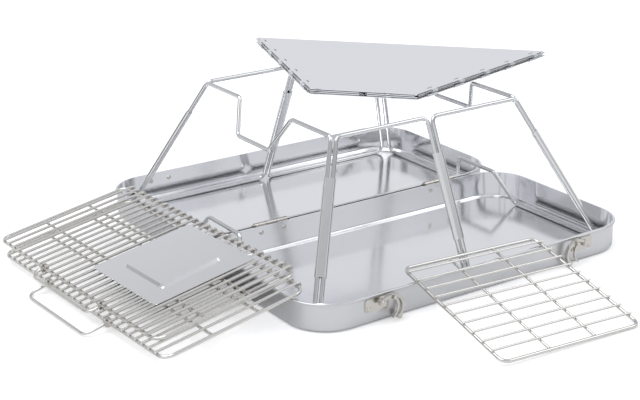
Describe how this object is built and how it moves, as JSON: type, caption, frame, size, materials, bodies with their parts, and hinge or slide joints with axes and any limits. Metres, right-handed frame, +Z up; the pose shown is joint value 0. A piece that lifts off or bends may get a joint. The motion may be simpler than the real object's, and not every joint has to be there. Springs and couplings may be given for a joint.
{
  "type": "portable charcoal grill",
  "caption": "Portable stainless charcoal grill: hinged two-tray case, folding wire stand, folded fire bowl, two grills, griddle plate and coal grate.",
  "frame": {"origin": "centre of the front tray's underside", "axes": "+X to the right along the trays, +Y from the front tray to the back tray, +Z up"},
  "size_m": [0.6957, 0.659, 0.1824],
  "materials": {
    "case_steel": "polished",
    "stand_wire": "polished",
    "grill_wire": "polished",
    "sleeve_steel": "satin",
    "bowl_steel": "mirror polished",
    "latch_nickel": "satin nickel"
  },
  "bodies": {
    "front_case": {"front_tray": "case_steel", "front_hinge_leaves": "latch_nickel", "front_hinge_rivets": "latch_nickel", "hinge_pins": "latch_nickel", "latch_base_left": "latch_nickel", "latch_base_right": "latch_nickel", "latch_rivets": "latch_nickel", "latch_lever_pins": "latch_nickel"},
    "back_case": {"back_tray": "case_steel", "back_hinge_leaves": "latch_nickel", "back_hinge_rivets": "latch_nickel", "catch_plates": "latch_nickel", "catch_rivets": "latch_nickel"},
    "stand_left": {"stand_loop_left": "stand_wire", "sleeve_left_front": "sleeve_steel", "sleeve_left_back": "sleeve_steel"},
    "stand_front_left": {"stand_loop_front_left": "stand_wire"},
    "stand_front_right": {"stand_loop_front_right": "stand_wire", "sleeve_middle_front": "sleeve_steel", "sleeve_right_front": "sleeve_steel"},
    "stand_right": {"stand_loop_right": "stand_wire", "sleeve_right_back": "sleeve_steel"},
    "stand_back_left": {"stand_loop_back_left": "stand_wire"},
    "stand_back_right": {"stand_loop_back_right": "stand_wire", "sleeve_middle_back": "sleeve_steel"},
    "bowl_bottom": {"bowl_panel_bottom": "bowl_steel", "bowl_lower_edge_pins": "bowl_steel"},
    "bowl_left_lower": {"bowl_left_lower_half": "bowl_steel", "bowl_left_fold_pin": "bowl_steel"},
    "bowl_left_upper": {"bowl_left_upper_half": "bowl_steel"},
    "bowl_top": {"bowl_panel_top": "bowl_steel", "bowl_upper_edge_pins": "bowl_steel"},
    "bowl_right_lower": {"bowl_right_lower_half": "bowl_steel", "bowl_right_fold_pin": "bowl_steel"},
    "bowl_right_upper": {"bowl_right_upper_half": "bowl_steel"},
    "lower_grill": {"lower_grill_frame": "grill_wire", "lower_grill_bars": "grill_wire", "lower_grill_cross_wires": "grill_wire"},
    "lower_grill_handle": {"lower_grill_handle": "grill_wire"},
    "upper_grill": {"upper_grill_frame": "grill_wire", "upper_grill_bars": "grill_wire", "upper_grill_cross_wires": "grill_wire"},
    "upper_grill_handle": {"upper_grill_handle": "grill_wire"},
    "griddle": {"griddle_plate": "case_steel"},
    "coal_grate": {"coal_grate_frame": "grill_wire", "coal_grate_long_wires": "grill_wire", "coal_grate_bars": "grill_wire"},
    "latch_lever_left": {"latch_lever_left": "latch_nickel", "latch_hook_pin_left": "latch_nickel"},
    "latch_hook_left": {"latch_hook_left": "latch_nickel"},
    "latch_lever_right": {"latch_lever_right": "latch_nickel", "latch_hook_pin_right": "latch_nickel"},
    "latch_hook_right": {"latch_hook_right": "latch_nickel"}
  },
  "joints": [
    {"name": "case_hinge", "type": "hinge", "parent": "front_case", "child": "back_case", "pos_m": [0, 0.12, 0.03325], "axis": [1, 0, 0], "range_deg": [0, 180]},
    {"name": "stand_lift", "type": "slide", "parent": "front_case", "child": "stand_left", "axis": [0, 0, 1], "range_m": [0, 1.09966]},
    {"name": "left_front_post", "type": "hinge", "parent": "stand_left", "child": "stand_front_left", "pos_m": [-0.20082, -0.09195, 0.00215], "axis": [0.3783, 0.3788, 0.8446], "range_deg": [0, 77.9]},
    {"name": "middle_front_post", "type": "hinge", "parent": "stand_front_left", "child": "stand_front_right", "pos_m": [-0.0032, -0.0913, 0.0036], "axis": [0, -0.4092, -0.9124], "range_deg": [0, 138.55]},
    {"name": "right_front_post", "type": "hinge", "parent": "stand_front_right", "child": "stand_right", "pos_m": [0.20535, -0.08742, 0.00215], "axis": [-0.3783, 0.3788, 0.8446], "range_deg": [0, 77.29]},
    {"name": "left_back_post", "type": "hinge", "parent": "stand_left", "child": "stand_back_left", "pos_m": [-0.20082, 0.33195, 0.00215], "axis": [-0.3783, 0.3788, -0.8446], "range_deg": [0, 78.08]},
    {"name": "middle_back_post", "type": "hinge", "parent": "stand_back_left", "child": "stand_back_right", "pos_m": [-0.0032, 0.3313, 0.0036], "axis": [0, -0.4092, 0.9124], "range_deg": [0, 140.79]},
    {"name": "bowl_lift", "type": "slide", "parent": "front_case", "child": "bowl_bottom", "axis": [0, 0, 1], "range_m": [0, 1.25674]},
    {"name": "bowl_open", "type": "hinge", "parent": "bowl_bottom", "child": "bowl_left_lower", "pos_m": [-0.0624, 0.13065, 0.1768], "axis": [-0.3152, -0.949, 0], "range_deg": [0, 103.18]},
    {"name": "bowl_left_fold", "type": "hinge", "parent": "bowl_left_lower", "child": "bowl_left_upper", "pos_m": [-0.01991, 0.08605, 0.1788], "axis": [0.7325, 0.6807, 0], "range_deg": [0, 172.81]},
    {"name": "bowl_top_edge", "type": "hinge", "parent": "bowl_left_upper", "child": "bowl_top", "pos_m": [-0.0624, 0.13065, 0.1808], "axis": [-0.3152, -0.949, 0], "range_deg": [0, 103.19]},
    {"name": "bowl_right_edge", "type": "hinge", "parent": "bowl_bottom", "child": "bowl_right_lower", "pos_m": [0.02528, 0.0363, 0.1768], "axis": [0.9695, 0.2449, 0], "range_deg": [0, 103.19]},
    {"name": "bowl_right_fold", "type": "hinge", "parent": "bowl_right_lower", "child": "bowl_right_upper", "pos_m": [-0.01609, 0.08195, 0.1788], "axis": [-0.7325, -0.6807, 0], "range_deg": [0, 172.81]},
    {"name": "lower_grill_lift", "type": "slide", "parent": "front_case", "child": "lower_grill", "axis": [0, 0, 1], "range_m": [0, 1.09966]},
    {"name": "upper_grill_lift", "type": "slide", "parent": "lower_grill", "child": "upper_grill", "axis": [0, 0, 1], "range_m": [0, 0.15]},
    {"name": "griddle_lift", "type": "slide", "parent": "upper_grill", "child": "griddle", "axis": [0, 0, 1], "range_m": [0, 0.1]},
    {"name": "coal_grate_lift", "type": "slide", "parent": "front_case", "child": "coal_grate", "axis": [0, 0, 1], "range_m": [0, 1.09966]},
    {"name": "lower_handle_swing", "type": "hinge", "parent": "lower_grill", "child": "lower_grill_handle", "pos_m": [-0.3861, 0.09076, 0.00955], "axis": [-0.0517, 0.9986, -0.0082], "range_deg": [0, 5]},
    {"name": "upper_handle_swing", "type": "hinge", "parent": "upper_grill", "child": "upper_grill_handle", "pos_m": [-0.38026, 0.11576, 0.01797], "axis": [-0.0517, 0.9986, -0.0082], "range_deg": [0, 140]},
    {"name": "latch_lever_left_swing", "type": "hinge", "parent": "front_case", "child": "latch_lever_left", "pos_m": [-0.143, -0.1208, 0.025], "axis": [0, -1, 0], "range_deg": [0, 120]},
    {"name": "latch_hook_left_swing", "type": "hinge", "parent": "latch_lever_left", "child": "latch_hook_left", "pos_m": [-0.12936, -0.1254, 0.028], "axis": [0, -1, 0], "range_deg": [-35, 35]},
    {"name": "latch_lever_right_swing", "type": "hinge", "parent": "front_case", "child": "latch_lever_right", "pos_m": [0.143, -0.1208, 0.025], "axis": [0, 1, 0], "range_deg": [0, 120]},
    {"name": "latch_hook_right_swing", "type": "hinge", "parent": "latch_lever_right", "child": "latch_hook_right", "pos_m": [0.12936, -0.1254, 0.028], "axis": [0, 1, 0], "range_deg": [-35, 35]}
  ],
  "couplings": [
    {"joint": "stand_lift", "follows": "case_hinge", "m_per_rad": 0.35},
    {"joint": "left_front_post", "follows": "case_hinge", "ratio": 0.43275},
    {"joint": "middle_front_post", "follows": "case_hinge", "ratio": 0.76968},
    {"joint": "right_front_post", "follows": "case_hinge", "ratio": 0.42935},
    {"joint": "left_back_post", "follows": "case_hinge", "ratio": 0.4337},
    {"joint": "middle_back_post", "follows": "case_hinge", "ratio": 0.78213},
    {"joint": "bowl_lift", "follows": "case_hinge", "m_per_rad": 0.4},
    {"joint": "bowl_left_fold", "follows": "bowl_open", "ratio": 1.6748},
    {"joint": "bowl_top_edge", "follows": "bowl_open", "ratio": 1},
    {"joint": "bowl_right_edge", "follows": "bowl_open", "ratio": 1},
    {"joint": "bowl_right_fold", "follows": "bowl_open", "ratio": 1.6748},
    {"joint": "lower_grill_lift", "follows": "case_hinge", "m_per_rad": 0.35},
    {"joint": "coal_grate_lift", "follows": "case_hinge", "m_per_rad": 0.35}
  ]
}
